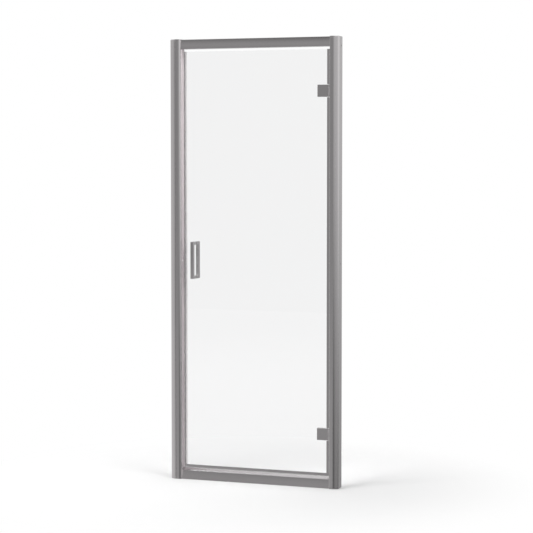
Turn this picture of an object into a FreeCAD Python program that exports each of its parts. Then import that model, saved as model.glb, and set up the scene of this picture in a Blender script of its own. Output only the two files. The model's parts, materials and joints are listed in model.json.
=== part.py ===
import FreeCAD, Part
import math
import os

# Hinged shower door for a niche: a fixed frame between two walls and a glass leaf that swings out.
# X runs along the width, Y into the shower, Z up. Y = 0 is the middle of the glass.

# Driving dimensions of the frame
frame_width = 782.0
frame_height = 1950.0
frame_front = 39.0
frame_rear = 14.0
post_width = 42.0
closing_post_width = 48.6
channel_width = 23.5
crown_fall = 9.0
crown_bow = 1.4
channel_corner_radius = 4.0
profile_wall = 1.8
cap_height = 9.0

# Driving dimensions of the leaf
glass_thickness = 6.0
glass_top_gap = 10.5
leaf_floor_gap = 50.0
closing_gap = 12.1
hinge_gap = 15.0
hinge_inset = 232.0
handle_height = 977.0
handle_inset = 55.4

# Clearances and the overrun of cuts
slide_clearance = 0.5
seat_clearance = 0.1
running_clearance = 0.05
seal_clearance = 0.6
cut_overrun = 5.0
same_place = 0.01

# Jambs inside the wall channels
jamb_depth = 34.0
cover_overlap = 3.0
guide_setback = 16.7
jamb_corner_radius = 2.5
closing_corner_radius = 8.0
rear_corner_radius = 1.0
lip_height = 1.2
lip_margin = 0.3

# Caps on the post ends
cap_plug_depth = 7.0
cap_plug_wall = 2.0
cap_edge_radius = 4.0

# Top rail
top_rail_height = 41.5
top_rail_drop = 1.5
top_rail_front = 32.0
top_rail_lean = 6.0
top_rail_bow = 1.5
rail_edge_radius = 1.5
rib_thickness = 1.5

# Sill rail
sill_front = 30.0
sill_lean = 10.2
sill_knee_height = 37.6
sill_crest_height = 48.5
sill_crest_front = 3.0
sill_rear_height = 27.0
sill_bow = 0.5
sill_crest_radius = 2.0

# Screw ports that run through both rails
port_radius = 2.05
port_wall = 1.9
port_front = 12.0
port_rear = 3.0
port_rail_height = 20.0
port_sill_height = 24.0

# Screws: head radius, head height, shank radius, shank length
wall_hole_radius = 2.75
wall_hole_inset = 40.0
wall_hole_front = 4.0
rail_screw_head_radius = 3.6
rail_screw_head = 2.4
rail_screw_length = 24.0
lock_screw_radius = 1.9
lock_screw_head_radius = 3.8
lock_screw_head = 2.2
lock_screw_length = 10.0
lock_screw_inset = 200.0
lock_screw_from_wall = 13.0
sunk_screw_radius = 2.4
sunk_head_radius = 4.4
sunk_head = 2.2

# Strike seal on the closing jamb
strike_width = 36.0
strike_centre = 8.5
strike_base = 2.0
strike_ridge = 3.5
strike_magnet_thickness = 1.4
strike_screw_radius = 1.6
strike_screw_head_radius = 3.2
strike_screw_head = 1.2
strike_screw_length = 9.0
rail_gap = 0.5

# Closing-edge seal on the glass
seal_wall = 1.0
seal_grip = 5.0
seal_half_depth = 5.2

# Hinge-edge profile, its seal, and the drip rail
edge_profile_width = 13.0
edge_profile_half_depth = 4.8
edge_profile_reach = 7.0
edge_hinge_gap = 0.6
groove_width = 2.2
groove_depth = 3.0
groove_rear = 1.0
fin_thickness = 0.9
fin_rise = 4.0
fin_gap = 0.8
drip_rail_height = 11.6
drip_floor = 3.6
drip_lip = 1.4
drip_lip_rear = 4.0

# Hinges
plate_height = 52.0
plate_width = 49.0
plate_thickness = 4.5
plate_bevel = 1.0
plate_corner_radius = 1.5
gasket_thickness = 1.0
gasket_margin = 1.0
knuckle_radius = 5.5
knuckle_height = 24.0
knuckle_gap = 0.5
axis_from_jamb = 9.0
axis_front = 7.0
bracket_width = 26.0
bracket_centre = 3.5
bracket_thickness = 3.0
pin_radius = 2.5
pin_head_radius = 4.0
pin_head = 1.6
pin_tail = 0.8
bush_wall = 0.9
bush_flange = 0.4
bush_flange_radius = 4.9
bracket_screw_rear = 4.0
bracket_screw_spread = 32.0
backing_thickness = 4.0
backing_margin = 0.5
clamp_screw_spread = 28.0
clamp_hole_radius = 5.0
clamp_thread_depth = 3.4

# Handles
handle_length = 164.0
handle_bar = 14.0
handle_reach = 40.0
handle_corner_radius = 2.0
handle_edge_radius = 0.8
washer_thickness = 1.0
stud_radius = 3.0
stud_reach = 22.0
stud_bottom_gap = 0.5
handle_hole_radius = 6.0
grub_radius = 2.0
grub_length = 3.4
grub_from_glass = 12.0

# Derived places, all from the values above
half_width = frame_width / 2
jamb_face = half_width - post_width
closing_face = half_width - closing_post_width
lip_x = half_width - channel_width
web_x = half_width - profile_wall
front_y = -frame_front
crown_chord = math.hypot(channel_width, crown_fall)
crown_radius = (crown_chord ** 2 / 4 + crown_bow ** 2) / (2 * crown_bow)
crown_x = (lip_x + half_width) / 2 - crown_fall / crown_chord * (crown_radius - crown_bow)
crown_y = front_y + crown_fall / 2 + channel_width / crown_chord * (crown_radius - crown_bow)
cover_end = lip_x + cover_overlap
cover_drop = math.sqrt((crown_radius - profile_wall) ** 2 - (cover_end - crown_x) ** 2)
jamb_front_y = crown_y - cover_drop + slide_clearance
jamb_rear_y = frame_rear - profile_wall - slide_clearance
jamb_back_x = jamb_face + jamb_depth
guide_y = jamb_front_y + guide_setback
post_top = frame_height - cap_height
rail_top = frame_height - top_rail_drop
rail_bottom = rail_top - top_rail_height
glass_half = glass_thickness / 2
glass_left = -closing_face + closing_gap
glass_right = jamb_face - hinge_gap
glass_top = rail_bottom - glass_top_gap
glass_bottom = leaf_floor_gap + drip_floor + seat_clearance
drip_top = leaf_floor_gap + drip_rail_height
axis_x = jamb_face - axis_from_jamb
axis_y = -axis_front
hinge_heights = {"lower": hinge_inset, "upper": frame_height - hinge_inset}
strike_bottom = sill_crest_height + rail_gap
strike_top = rail_bottom - rail_gap
strike_y = (-strike_centre - strike_width / 2, -strike_centre + strike_width / 2)
bracket_y = (-bracket_centre - bracket_width / 2, -bracket_centre + bracket_width / 2)
handle_x = -closing_face + handle_inset
grip_inner_y = handle_reach - handle_bar
foot_y = glass_half + washer_thickness
handle_posts = [handle_height + side * (handle_length - handle_bar) / 2 for side in (-1, 1)]
wall_holes = [wall_hole_inset, frame_height / 2, frame_height - wall_hole_inset]
lock_screws = [lock_screw_inset, frame_height / 2, frame_height - lock_screw_inset]

X_AXIS = FreeCAD.Vector(1, 0, 0)
Y_AXIS = FreeCAD.Vector(0, 1, 0)
Z_AXIS = FreeCAD.Vector(0, 0, 1)


def in_plan(x, y):
    return FreeCAD.Vector(x, y, 0)


def in_side_view(y, z):
    return FreeCAD.Vector(0, y, z)


def outline(corners, place):
    """Face with these corners. A third value bows the edge that arrives at its corner to the left."""
    edges = []
    for start, end in zip(corners[-1:] + corners[:-1], corners):
        first = place(*start[:2])
        last = place(*end[:2])
        if len(end) == 2:
            edges.append(Part.LineSegment(first, last).toShape())
            continue
        run = end[0] - start[0]
        rise = end[1] - start[1]
        lean = end[2] / math.hypot(run, rise)
        middle = place((start[0] + end[0]) / 2 - rise * lean, (start[1] + end[1]) / 2 + run * lean)
        edges.append(Part.Arc(first, middle, last).toShape())
    return Part.Face(Part.Wire(edges))


def upright(corners, bottom, top):
    """Vertical extrusion of a plan outline."""
    prism = outline(corners, in_plan).extrude(Z_AXIS * (top - bottom))
    return prism.translated(Z_AXIS * bottom)


def lengthwise(face, left, right):
    """Extrusion along X of a side-view face."""
    return face.extrude(X_AXIS * (right - left)).translated(X_AXIS * left)


def block(x_span, y_span, z_span):
    """Box between pairs of coordinates."""
    low = FreeCAD.Vector(min(x_span), min(y_span), min(z_span))
    return Part.makeBox(abs(x_span[1] - x_span[0]), abs(y_span[1] - y_span[0]),
                        abs(z_span[1] - z_span[0]), low)


def rod(radius, start, end):
    """Cylinder from one point to another."""
    line = end - start
    return Part.makeCylinder(radius, line.Length, start, line)


def edges_at(shape, **place):
    """Edges that keep to the given coordinates along their whole length."""
    found = []
    for edge in shape.Edges:
        box = edge.BoundBox
        spans = {"x": (box.XMin, box.XMax), "y": (box.YMin, box.YMax), "z": (box.ZMin, box.ZMax)}
        if all(abs(end - value) < same_place for axis, value in place.items() for end in spans[axis]):
            found.append(edge)
    return found


def mirrored(shape):
    """The same piece on the other side of the door."""
    return shape.mirror(FreeCAD.Vector(0, 0, 0), X_AXIS)


def joined(first, *others):
    """One solid out of pieces that meet."""
    return first.multiFuse(list(others)).removeSplitter().Solids[0]


def headed_screw(seat, direction, head_radius, head, radius, length):
    """Screw with a flat head on its seat, its shank along the direction."""
    body = rod(head_radius, seat - direction * head, seat)
    return joined(body, rod(radius, seat - direction * head / 2, seat + direction * length))


def sunk_screw(face, direction, length):
    """Countersunk screw, flush with the face, its shank along the direction."""
    cone = Part.makeCone(sunk_head_radius, sunk_screw_radius, sunk_head, face, direction)
    return joined(cone, rod(sunk_screw_radius, face, face + direction * length))


def sunk_hole(face, direction, length):
    """Room for a countersunk screw."""
    rim = sunk_head_radius + seat_clearance
    bore = sunk_screw_radius + seat_clearance
    cone = Part.makeCone(rim, bore, sunk_head, face, direction)
    return joined(cone, rod(bore, face, face + direction * length))


def crown_outline(inset):
    """Plan corners of the channel's closed outer shape, drawn in by a wall."""
    radius = crown_radius - inset
    end_x = half_width - inset
    start_y = crown_y - math.sqrt(radius ** 2 - (lip_x - crown_x) ** 2)
    end_y = crown_y - math.sqrt(radius ** 2 - (end_x - crown_x) ** 2)
    half_chord = math.hypot(end_x - lip_x, end_y - start_y) / 2
    sagitta = radius - math.sqrt(radius ** 2 - half_chord ** 2)
    return [(lip_x, start_y), (end_x, end_y, -sagitta),
            (end_x, frame_rear - inset), (lip_x, frame_rear - inset)]


def channel_shape(bottom, top):
    """Closed outer shape of a wall channel, with its round front."""
    shape = upright(crown_outline(0), bottom, top)
    crown_end = crown_outline(0)[1]
    shape = shape.makeFillet(channel_corner_radius, edges_at(shape, x=half_width, y=crown_end[1]))
    return shape.makeFillet(rear_corner_radius, edges_at(shape, x=half_width, y=frame_rear))


def wall_channel():
    """Right wall channel: a U that opens towards the leaf, with a guide rib and wall holes in its web."""
    channel = channel_shape(cap_height, post_top)
    inside = crown_outline(profile_wall)
    mouth = lip_x - cut_overrun
    hollow = [(mouth, inside[0][1])] + inside + [(mouth, inside[3][1])]
    channel = channel.cut(upright(hollow, 0, frame_height))
    guide = block((cover_end + slide_clearance + profile_wall, web_x),
                  (guide_y - slide_clearance - profile_wall, guide_y - slide_clearance),
                  (cap_height, post_top))
    channel = joined(channel, guide)
    for z in wall_holes:
        start = FreeCAD.Vector(web_x - cut_overrun, -wall_hole_front, z)
        channel = channel.cut(rod(wall_hole_radius, start, start + X_AXIS * 2 * cut_overrun))
    for z in lock_screws:
        channel = channel.cut(lock_screw_hole(z))
    return channel


def lock_screw_hole(z):
    """Hole through the rear flanges of a channel and its jamb."""
    start = FreeCAD.Vector(half_width - lock_screw_from_wall, frame_rear + cut_overrun, z)
    return rod(lock_screw_radius + seat_clearance, start, start - Y_AXIS * 4 * cut_overrun)


def jamb(face, corner_radius, seat):
    """Jamb on the right: a web with a front cover, guide and rear flanges, and lips around a seat."""
    inner = face + profile_wall
    lip_front = seat[0] - lip_margin
    lip_rear = seat[1] + lip_margin
    section = [
        (face, jamb_front_y), (cover_end, jamb_front_y),
        (cover_end, jamb_front_y + profile_wall), (inner, jamb_front_y + profile_wall),
        (inner, guide_y), (jamb_back_x, guide_y),
        (jamb_back_x, guide_y + profile_wall), (inner, guide_y + profile_wall),
        (inner, jamb_rear_y - profile_wall), (jamb_back_x, jamb_rear_y - profile_wall),
        (jamb_back_x, jamb_rear_y), (face, jamb_rear_y)]
    shape = upright(section, cap_height, post_top)
    shape = shape.makeFillet(corner_radius, edges_at(shape, x=face, y=jamb_front_y))
    shape = shape.makeFillet(corner_radius - profile_wall,
                             edges_at(shape, x=inner, y=jamb_front_y + profile_wall))
    shape = shape.makeFillet(rear_corner_radius, edges_at(shape, x=face, y=jamb_rear_y))
    lips = [block((face - lip_height, inner), span, (strike_bottom, strike_top))
            for span in ((lip_front - lip_height, lip_front), (lip_rear, lip_rear + lip_height))]
    shape = joined(shape, *lips)
    for place, direction in rail_screw_seats(face):
        bore = lock_screw_radius + seat_clearance
        shape = shape.cut(rod(bore, place - direction * cut_overrun, place + direction * cut_overrun))
    for z in lock_screws:
        shape = shape.cut(lock_screw_hole(z))
    return shape


def rail_screw_seats(face):
    """Seats of the screws from inside a jamb on the right into the rail ports, with their direction."""
    inner = face + profile_wall
    return [(FreeCAD.Vector(inner, y, z), -X_AXIS)
            for z in (port_sill_height, rail_bottom + port_rail_height)
            for y in (-port_front, port_rear)]


def hinge_jamb():
    """The right jamb with the bracket screw holes."""
    shape = jamb(jamb_face, jamb_corner_radius, bracket_y)
    for z in hinge_heights.values():
        for side in (-1, 1):
            start = bracket_screw_face(z, side)
            bore = sunk_screw_radius + seat_clearance
            shape = shape.cut(rod(bore, start, start + X_AXIS * (bracket_thickness + cut_overrun)))
    return shape


def closing_jamb():
    """The left jamb, wider and with a round nose, and with the hole for the strike screw."""
    seat = strike_screw_seat()
    bore = rod(strike_screw_radius + seat_clearance, seat, seat - X_AXIS * 2 * cut_overrun)
    return mirrored(jamb(closing_face, closing_corner_radius, strike_y)).cut(bore)


def cap(face, corner_radius):
    """Top cap of a post on the right: it covers channel and jamb and plugs into the jamb."""
    over_channel = channel_shape(post_top, frame_height)
    over_channel = over_channel.makeFillet(
        cap_edge_radius, edges_at(over_channel, x=half_width, z=frame_height))
    over_jamb = block((face, cover_end), (jamb_front_y, jamb_rear_y),
                      (post_top, frame_height))
    over_jamb = over_jamb.makeFillet(
        corner_radius, edges_at(over_jamb, x=face, y=jamb_front_y))
    plug_x = (face + profile_wall + rail_screw_head + slide_clearance, jamb_back_x)
    plug_y = (guide_y + profile_wall + slide_clearance, jamb_rear_y - profile_wall - slide_clearance)
    plug = block(plug_x, plug_y, (post_top - cap_plug_depth, post_top))
    hollow = block([plug_x[0] + cap_plug_wall, plug_x[1] - cap_plug_wall],
                   [plug_y[0] + cap_plug_wall, plug_y[1] - cap_plug_wall],
                   (post_top - cap_plug_depth, post_top))
    return joined(over_channel, over_jamb, plug.cut(hollow))


def flipped(shape):
    """The same piece at the other end of the post."""
    return shape.mirror(FreeCAD.Vector(0, 0, frame_height / 2), Z_AXIS)


def rail(section, rounded, port_height):
    """Hollow rail between the jambs, with a cross rib that carries two screw ports."""
    face = outline(section, in_side_view)
    body = lengthwise(face, -closing_face, jamb_face)
    for radius, place in rounded:
        body = body.makeFillet(radius, edges_at(body, **place))
    hollow = lengthwise(face.makeOffset2D(-profile_wall, 2), -half_width, half_width)
    rib = block((-closing_face, jamb_face), (-frame_front, frame_rear),
                (port_height - rib_thickness / 2, port_height + rib_thickness / 2))
    stiffening = [rib]
    bores = []
    for y in (-port_front, port_rear):
        start = FreeCAD.Vector(-closing_face, y, port_height)
        end = FreeCAD.Vector(jamb_face, y, port_height)
        stiffening.append(rod(port_radius + port_wall, start, end))
        bores.append(rod(port_radius, start, end))
    inside = joined(*stiffening).common(hollow)
    body = joined(body.cut(hollow), inside)
    return body.cut(bores)


def top_rail():
    """Top rail: its front bows out and leans back towards the top."""
    lean_y = -top_rail_front + top_rail_lean
    section = [(jamb_rear_y, rail_bottom), (-top_rail_front, rail_bottom),
               (lean_y, rail_top, top_rail_bow), (jamb_rear_y, rail_top)]
    rounded = [(rail_edge_radius, {"y": lean_y, "z": rail_top}),
               (rear_corner_radius, {"y": -top_rail_front, "z": rail_bottom}),
               (rear_corner_radius, {"y": jamb_rear_y, "z": rail_top})]
    return rail(section, rounded, rail_bottom + port_rail_height)


def sill_rail():
    """Sill rail: a leaning front, a wash slope up to a crest under the leaf, and a fall behind it."""
    knee_y = -sill_front + sill_lean
    section = [(jamb_rear_y, 0), (-sill_front, 0), (knee_y, sill_knee_height, sill_bow),
               (-sill_crest_front, sill_crest_height), (jamb_rear_y, sill_rear_height)]
    rounded = [(sill_crest_radius, {"y": -sill_crest_front, "z": sill_crest_height}),
               (rear_corner_radius, {"y": knee_y, "z": sill_knee_height})]
    return rail(section, rounded, port_sill_height)


def strike_screw_seat():
    """Where the strike screw's head seats on the seal's base, halfway between its front and the ridge."""
    middle_y = (strike_y[0] - seal_half_depth) / 2
    return FreeCAD.Vector(-closing_face + strike_base, middle_y, frame_height / 2)


def strike_magnet(clearance):
    """Magnet strip in the ridge of the strike seal, or its chamber."""
    tip = -closing_face + strike_ridge - seal_wall - seat_clearance
    half = seal_half_depth - seal_wall - seat_clearance + clearance
    return block((tip - strike_magnet_thickness - clearance, tip + clearance), (-half, half),
                 (strike_bottom, strike_top))


def strike_seal():
    """Strike seal: a flat base between the jamb's lips and a ridge that holds its magnet up to the leaf's."""
    base = -closing_face + strike_base
    ridge = -closing_face + strike_ridge
    half = seal_half_depth
    section = [(-closing_face, strike_y[0]), (base, strike_y[0] + strike_base),
               (base, -half - seal_wall), (ridge, -half), (ridge, half), (base, half + seal_wall),
               (base, strike_y[1] - strike_base), (-closing_face, strike_y[1])]
    shape = upright(section, strike_bottom, strike_top)
    seat = strike_screw_seat()
    bore = rod(strike_screw_radius + seat_clearance, seat, seat - X_AXIS * cut_overrun)
    return shape.cut([strike_magnet(seat_clearance), bore])


def strike_screw():
    """Screw that holds the strike seal at mid height."""
    return headed_screw(strike_screw_seat(), -X_AXIS, strike_screw_head_radius, strike_screw_head,
                        strike_screw_radius, strike_screw_length)


def leaf_seal():
    """Closing-edge seal: two grip legs on the glass and a box that holds the magnet."""
    edge = glass_left - seat_clearance
    tip, box_end = leaf_seal_box()
    grip_half = glass_half + seat_clearance
    grip_outer = grip_half + seal_wall
    grip_end = glass_left + seal_grip
    section = [(tip, -seal_half_depth), (box_end, -seal_half_depth), (box_end, -grip_outer),
               (grip_end, -grip_outer), (grip_end, -grip_half), (edge, -grip_half),
               (edge, grip_half), (grip_end, grip_half), (grip_end, grip_outer),
               (box_end, grip_outer), (box_end, seal_half_depth), (tip, seal_half_depth)]
    shape = upright(section, leaf_floor_gap, glass_top)
    shape = shape.cut(leaf_magnet(seat_clearance))
    below = (0, drip_top + seat_clearance)
    legs = block((edge - seat_clearance, grip_end + cut_overrun), (-seal_half_depth, seal_half_depth), below)
    return shape.cut(legs)


def leaf_seal_box():
    """Tip and root of the closing-edge seal's box, between the strike seal and the glass."""
    return (-closing_face + strike_ridge + seal_clearance, glass_left - seat_clearance - seal_wall)


def leaf_magnet(clearance):
    """Magnet strip in the closing-edge seal's box, or its chamber."""
    tip, box_end = leaf_seal_box()
    wall = seal_wall + seat_clearance - clearance
    half = seal_half_depth - wall
    return block((tip + wall, box_end - wall), (-half, half), (leaf_floor_gap, glass_top))


def glass_panel():
    """Toughened glass with the holes for hinges and handles."""
    pane = block((glass_left, glass_right), (-glass_half, glass_half), (glass_bottom, glass_top))
    holes = [(clamp_hole_radius, clamp_x(), z + offset)
             for z in hinge_heights.values() for offset in clamp_offsets()]
    holes += [(handle_hole_radius, handle_x, z) for z in handle_posts]
    return pane.cut([across_glass(radius, x, z, glass_half + cut_overrun) for radius, x, z in holes])


def across_glass(radius, x, z, reach):
    """Rod through the glass, as far in front of it as behind."""
    return rod(radius, FreeCAD.Vector(x, -reach, z), FreeCAD.Vector(x, reach, z))


def edge_profile_spans():
    """Heights of the hinge-edge profile, which stops above and below each hinge."""
    half = plate_height / 2 + pin_head + edge_hinge_gap
    low, high = hinge_heights["lower"], hinge_heights["upper"]
    return {"lower": (leaf_floor_gap, low - half), "middle": (low + half, high - half),
            "upper": (high + half, glass_top)}


def hinge_edge_profile(span):
    """Hinge-edge profile: a U over the glass edge, with a groove for the seal."""
    back = glass_right + edge_profile_reach
    front = back - edge_profile_width
    outer = edge_profile_half_depth
    grip = glass_half + seat_clearance
    floor = glass_right + seat_clearance
    near = groove_rear - groove_width / 2
    far = groove_rear + groove_width / 2
    section = [(front, -outer), (back, -outer), (back, near), (back - groove_depth, near),
               (back - groove_depth, far), (back, far), (back, outer), (front, outer),
               (front, grip), (floor, grip), (floor, -grip), (front, -grip)]
    shape = upright(section, *span)
    corners = edges_at(shape, x=back, y=-outer) + edges_at(shape, x=back, y=outer)
    return shape.makeFillet(rear_corner_radius, corners)


def hinge_seal(span):
    """Fin seal that bridges the gap between the leaf's hinge edge and the jamb."""
    back = glass_right + edge_profile_reach
    root = back - groove_depth + seat_clearance
    near = groove_rear - groove_width / 2 + seat_clearance
    far = groove_rear + groove_width / 2 - seat_clearance
    tip = jamb_face - fin_gap
    section = [(root, near), (back, near), (tip, near + fin_rise),
               (tip, near + fin_rise + fin_thickness), (back, near + fin_thickness), (back, far),
               (root, far)]
    return upright(section, *span)


def drip_rail():
    """Drip rail: a U under the glass, with a slot for the drip seal."""
    outer = edge_profile_half_depth
    grip = glass_half + seat_clearance
    floor = leaf_floor_gap + drip_floor
    near = groove_rear - groove_width / 2
    far = groove_rear + groove_width / 2
    slot = leaf_floor_gap + groove_depth
    section = [(-outer, leaf_floor_gap), (near, leaf_floor_gap), (near, slot), (far, slot),
               (far, leaf_floor_gap), (outer, leaf_floor_gap), (outer, drip_top), (grip, drip_top),
               (grip, floor), (-grip, floor), (-grip, drip_top), (-outer, drip_top)]
    shape = lengthwise(outline(section, in_side_view), glass_left, drip_end_x())
    return shape.makeFillet(rear_corner_radius / 2, edges_at(shape, y=-outer, z=drip_top))


def drip_end_x():
    """Right end of the drip rail, against the hinge-edge profile."""
    return glass_right + edge_profile_reach - edge_profile_width - seat_clearance


def drip_seal():
    """Drip seal: a root in the rail's slot and a lip that leans into the shower above the sill."""
    near = groove_rear - groove_width / 2 + seat_clearance
    far = groove_rear + groove_width / 2 - seat_clearance
    root = leaf_floor_gap + groove_depth - seat_clearance
    tip = leaf_floor_gap - drip_lip
    section = [(near, root), (near, leaf_floor_gap), (near + drip_lip_rear, tip),
               (near + drip_lip_rear + fin_thickness, tip), (far, leaf_floor_gap), (far, root)]
    return lengthwise(outline(section, in_side_view), glass_left, drip_end_x())


def plate_span():
    """Left and right edges of a hinge plate on the glass."""
    right = axis_x - knuckle_radius - slide_clearance
    return (right - plate_width, right)


def clamp_x():
    """Middle of a hinge plate, where the clamp screws stand."""
    return sum(plate_span()) / 2


def clamp_offsets():
    """Heights of the clamp screws from the middle of the hinge."""
    return [side * clamp_screw_spread / 2 for side in (-1, 1)]


def plate_faces():
    """Inner and outer distance of a hinge plate from the glass's middle."""
    inner = glass_half + gasket_thickness
    return inner, inner + plate_thickness


def bevelled_plate(side, z):
    """Hinge plate in front of the glass (side -1) or behind it (side 1), with bevelled outer edges."""
    inner, outer = plate_faces()
    left, right = plate_span()
    plate = block((left, right), (side * inner, side * outer), (z - plate_height / 2, z + plate_height / 2))
    uprights = [edge for x in (left, right) for height in (z - plate_height / 2, z + plate_height / 2)
                for edge in edges_at(plate, x=x, z=height)]
    plate = plate.makeFillet(plate_corner_radius, uprights)
    return plate.makeChamfer(plate_bevel, edges_at(plate, y=side * outer))


def hinge_axis(z):
    return FreeCAD.Vector(axis_x, axis_y, z)


def knuckle(bottom, top):
    return rod(knuckle_radius, hinge_axis(bottom), hinge_axis(top))


def hinge_leaf(z):
    """Front hinge plate with the middle knuckle and threaded holes for the clamp screws."""
    inner, outer = plate_faces()
    half = knuckle_height / 2
    right = plate_span()[1]
    tongue = block((right - plate_corner_radius - plate_bevel, axis_x), (-outer + plate_bevel, -inner),
                   (z - half, z + half))
    shape = joined(bevelled_plate(-1, z), tongue, knuckle(z - half, z + half))
    bore = pin_radius + running_clearance + bush_wall
    shape = shape.cut(rod(bore, hinge_axis(z - plate_height), hinge_axis(z + plate_height)))
    threads = [rod(sunk_screw_radius + running_clearance, FreeCAD.Vector(clamp_x(), 0, z + offset),
                   FreeCAD.Vector(clamp_x(), -inner - clamp_thread_depth, z + offset))
               for offset in clamp_offsets()]
    return shape.cut(threads)


def clamp_screw_face(z, offset):
    return FreeCAD.Vector(clamp_x(), plate_faces()[1], z + offset)


def clamp_plate(z):
    """Rear hinge plate with countersunk holes."""
    holes = [sunk_hole(clamp_screw_face(z, offset), -Y_AXIS, plate_faces()[1])
             for offset in clamp_offsets()]
    return bevelled_plate(1, z).cut(holes)


def clamp_screws(z):
    """Screws that draw both hinge plates onto the glass."""
    inner, outer = plate_faces()
    length = outer + inner + clamp_thread_depth - seat_clearance
    return Part.makeCompound([sunk_screw(clamp_screw_face(z, offset), -Y_AXIS, length)
                              for offset in clamp_offsets()])


def clamp_sleeves(z):
    """Sleeves that keep the clamp screws off the glass."""
    bore = sunk_screw_radius + seat_clearance
    return Part.makeCompound([
        across_glass(clamp_hole_radius - seat_clearance, clamp_x(), z + offset, glass_half).cut(
            across_glass(bore, clamp_x(), z + offset, glass_half))
        for offset in clamp_offsets()])


def hinge_gaskets(z):
    """Gaskets between the glass and the hinge plates."""
    left, right = plate_span()
    x_span = (left + gasket_margin, glass_right)
    z_span = (z - plate_height / 2 + gasket_margin, z + plate_height / 2 - gasket_margin)
    bore = sunk_screw_radius + seat_clearance
    holes = [across_glass(bore, clamp_x(), z + offset, 2 * cut_overrun) for offset in clamp_offsets()]
    return Part.makeCompound([
        block(x_span, (side * glass_half, side * plate_faces()[0]), z_span).cut(holes) for side in (-1, 1)])


def hinge_bushes(z):
    """Two flanged bushes in the middle knuckle, one from each end."""
    bore = pin_radius + running_clearance
    half = knuckle_height / 2
    bushes = []
    for side in (-1, 1):
        start = hinge_axis(z + side * seat_clearance)
        mouth = hinge_axis(z + side * half)
        end = hinge_axis(z + side * (half + bush_flange))
        bush = joined(rod(bore + bush_wall, start, end), rod(bush_flange_radius, mouth, end))
        bushes.append(bush.cut(rod(bore, start, end)))
    return Part.makeCompound(bushes)


def bracket_screw_face(z, side):
    """Where a bracket screw's head lies flush in the bracket."""
    return FreeCAD.Vector(jamb_face - bracket_thickness, bracket_screw_rear,
                          z + side * bracket_screw_spread / 2)


def hinge_bracket(z):
    """Jamb bracket: a plate between the jamb's lips and the two outer knuckles."""
    half = plate_height / 2
    face = jamb_face - bracket_thickness
    shape = block((face, jamb_face), bracket_y, (z - half, z + half))
    gap = knuckle_height / 2 + knuckle_gap
    for low, high in ((z - half, z - gap), (z + gap, z + half)):
        arm = block((axis_x, jamb_face), (axis_y - knuckle_radius, axis_y + knuckle_radius), (low, high))
        shape = joined(shape, arm, knuckle(low, high))
    shape = shape.cut(rod(pin_radius + running_clearance / 2, hinge_axis(z - plate_height),
                          hinge_axis(z + plate_height)))
    return shape.cut([sunk_hole(bracket_screw_face(z, side), X_AXIS, bracket_thickness + cut_overrun)
                      for side in (-1, 1)])


def bracket_screw_length():
    return bracket_thickness + profile_wall + backing_thickness


def bracket_screws(z):
    """Countersunk screws through bracket and jamb into the backing plate."""
    return Part.makeCompound([sunk_screw(bracket_screw_face(z, side), X_AXIS, bracket_screw_length())
                              for side in (-1, 1)])


def backing_plate(z):
    """Steel plate inside the jamb that the bracket screws thread into."""
    inner = jamb_face + profile_wall
    y_span = (guide_y + profile_wall + backing_margin, jamb_rear_y - profile_wall - backing_margin)
    plate = block((inner, inner + backing_thickness), y_span,
                  (z - plate_height / 2, z + plate_height / 2))
    bore = sunk_screw_radius + running_clearance
    return plate.cut([rod(bore, bracket_screw_face(z, side),
                          bracket_screw_face(z, side) + X_AXIS * (bracket_screw_length() + cut_overrun))
                      for side in (-1, 1)])


def hinge_pin(z):
    """Hinge pin with a flat head on top of the upper outer knuckle."""
    top = hinge_axis(z + plate_height / 2)
    pin = rod(pin_radius, hinge_axis(z - plate_height / 2 - pin_tail), top + Z_AXIS * pin_head)
    head = rod(pin_head_radius, top, top + Z_AXIS * pin_head)
    head = head.makeChamfer(pin_tail, edges_at(head, z=top.z + pin_head))
    return joined(pin, head)


def handle(side):
    """Handle in front of the glass (side -1) or behind it (side 1): a square bar on two square legs."""
    half = handle_length / 2
    wide = (handle_x - handle_bar / 2, handle_x + handle_bar / 2)
    shape = block(wide, (side * foot_y, side * handle_reach), (handle_height - half, handle_height + half))
    for z in (handle_height - half, handle_height + half):
        shape = shape.makeFillet(handle_corner_radius, edges_at(shape, y=side * handle_reach, z=z))
    gap_half = half - handle_bar
    shape = shape.cut(block([wide[0] - cut_overrun, wide[1] + cut_overrun], (0, side * grip_inner_y),
                            (handle_height - gap_half, handle_height + gap_half)))
    sides = [edge for x in wide for edge in edges_at(shape, x=x) if is_off_foot(edge, side)]
    shape = shape.makeFillet(handle_edge_radius, sides)
    for z in handle_posts:
        foot = FreeCAD.Vector(handle_x, 0, z)
        end = foot + Y_AXIS * side * (stud_reach + stud_bottom_gap)
        shape = shape.cut(rod(stud_radius + running_clearance, foot, end))
    return shape


def is_off_foot(edge, side):
    """Whether an edge lies clear of the handle's feet on the glass."""
    return abs(edge.CenterOfMass.y - side * foot_y) > same_place


def handle_rear():
    """Rear handle, with a grub screw hole in each leg."""
    shape = handle(1)
    return shape.cut([rod(grub_radius + running_clearance, grub_end(z) - X_AXIS * handle_bar, grub_end(z))
                      for z in handle_posts])


def grub_end(z):
    """Tip of a grub screw, on the stud."""
    return FreeCAD.Vector(handle_x - stud_radius - running_clearance, grub_from_glass, z)


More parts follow.
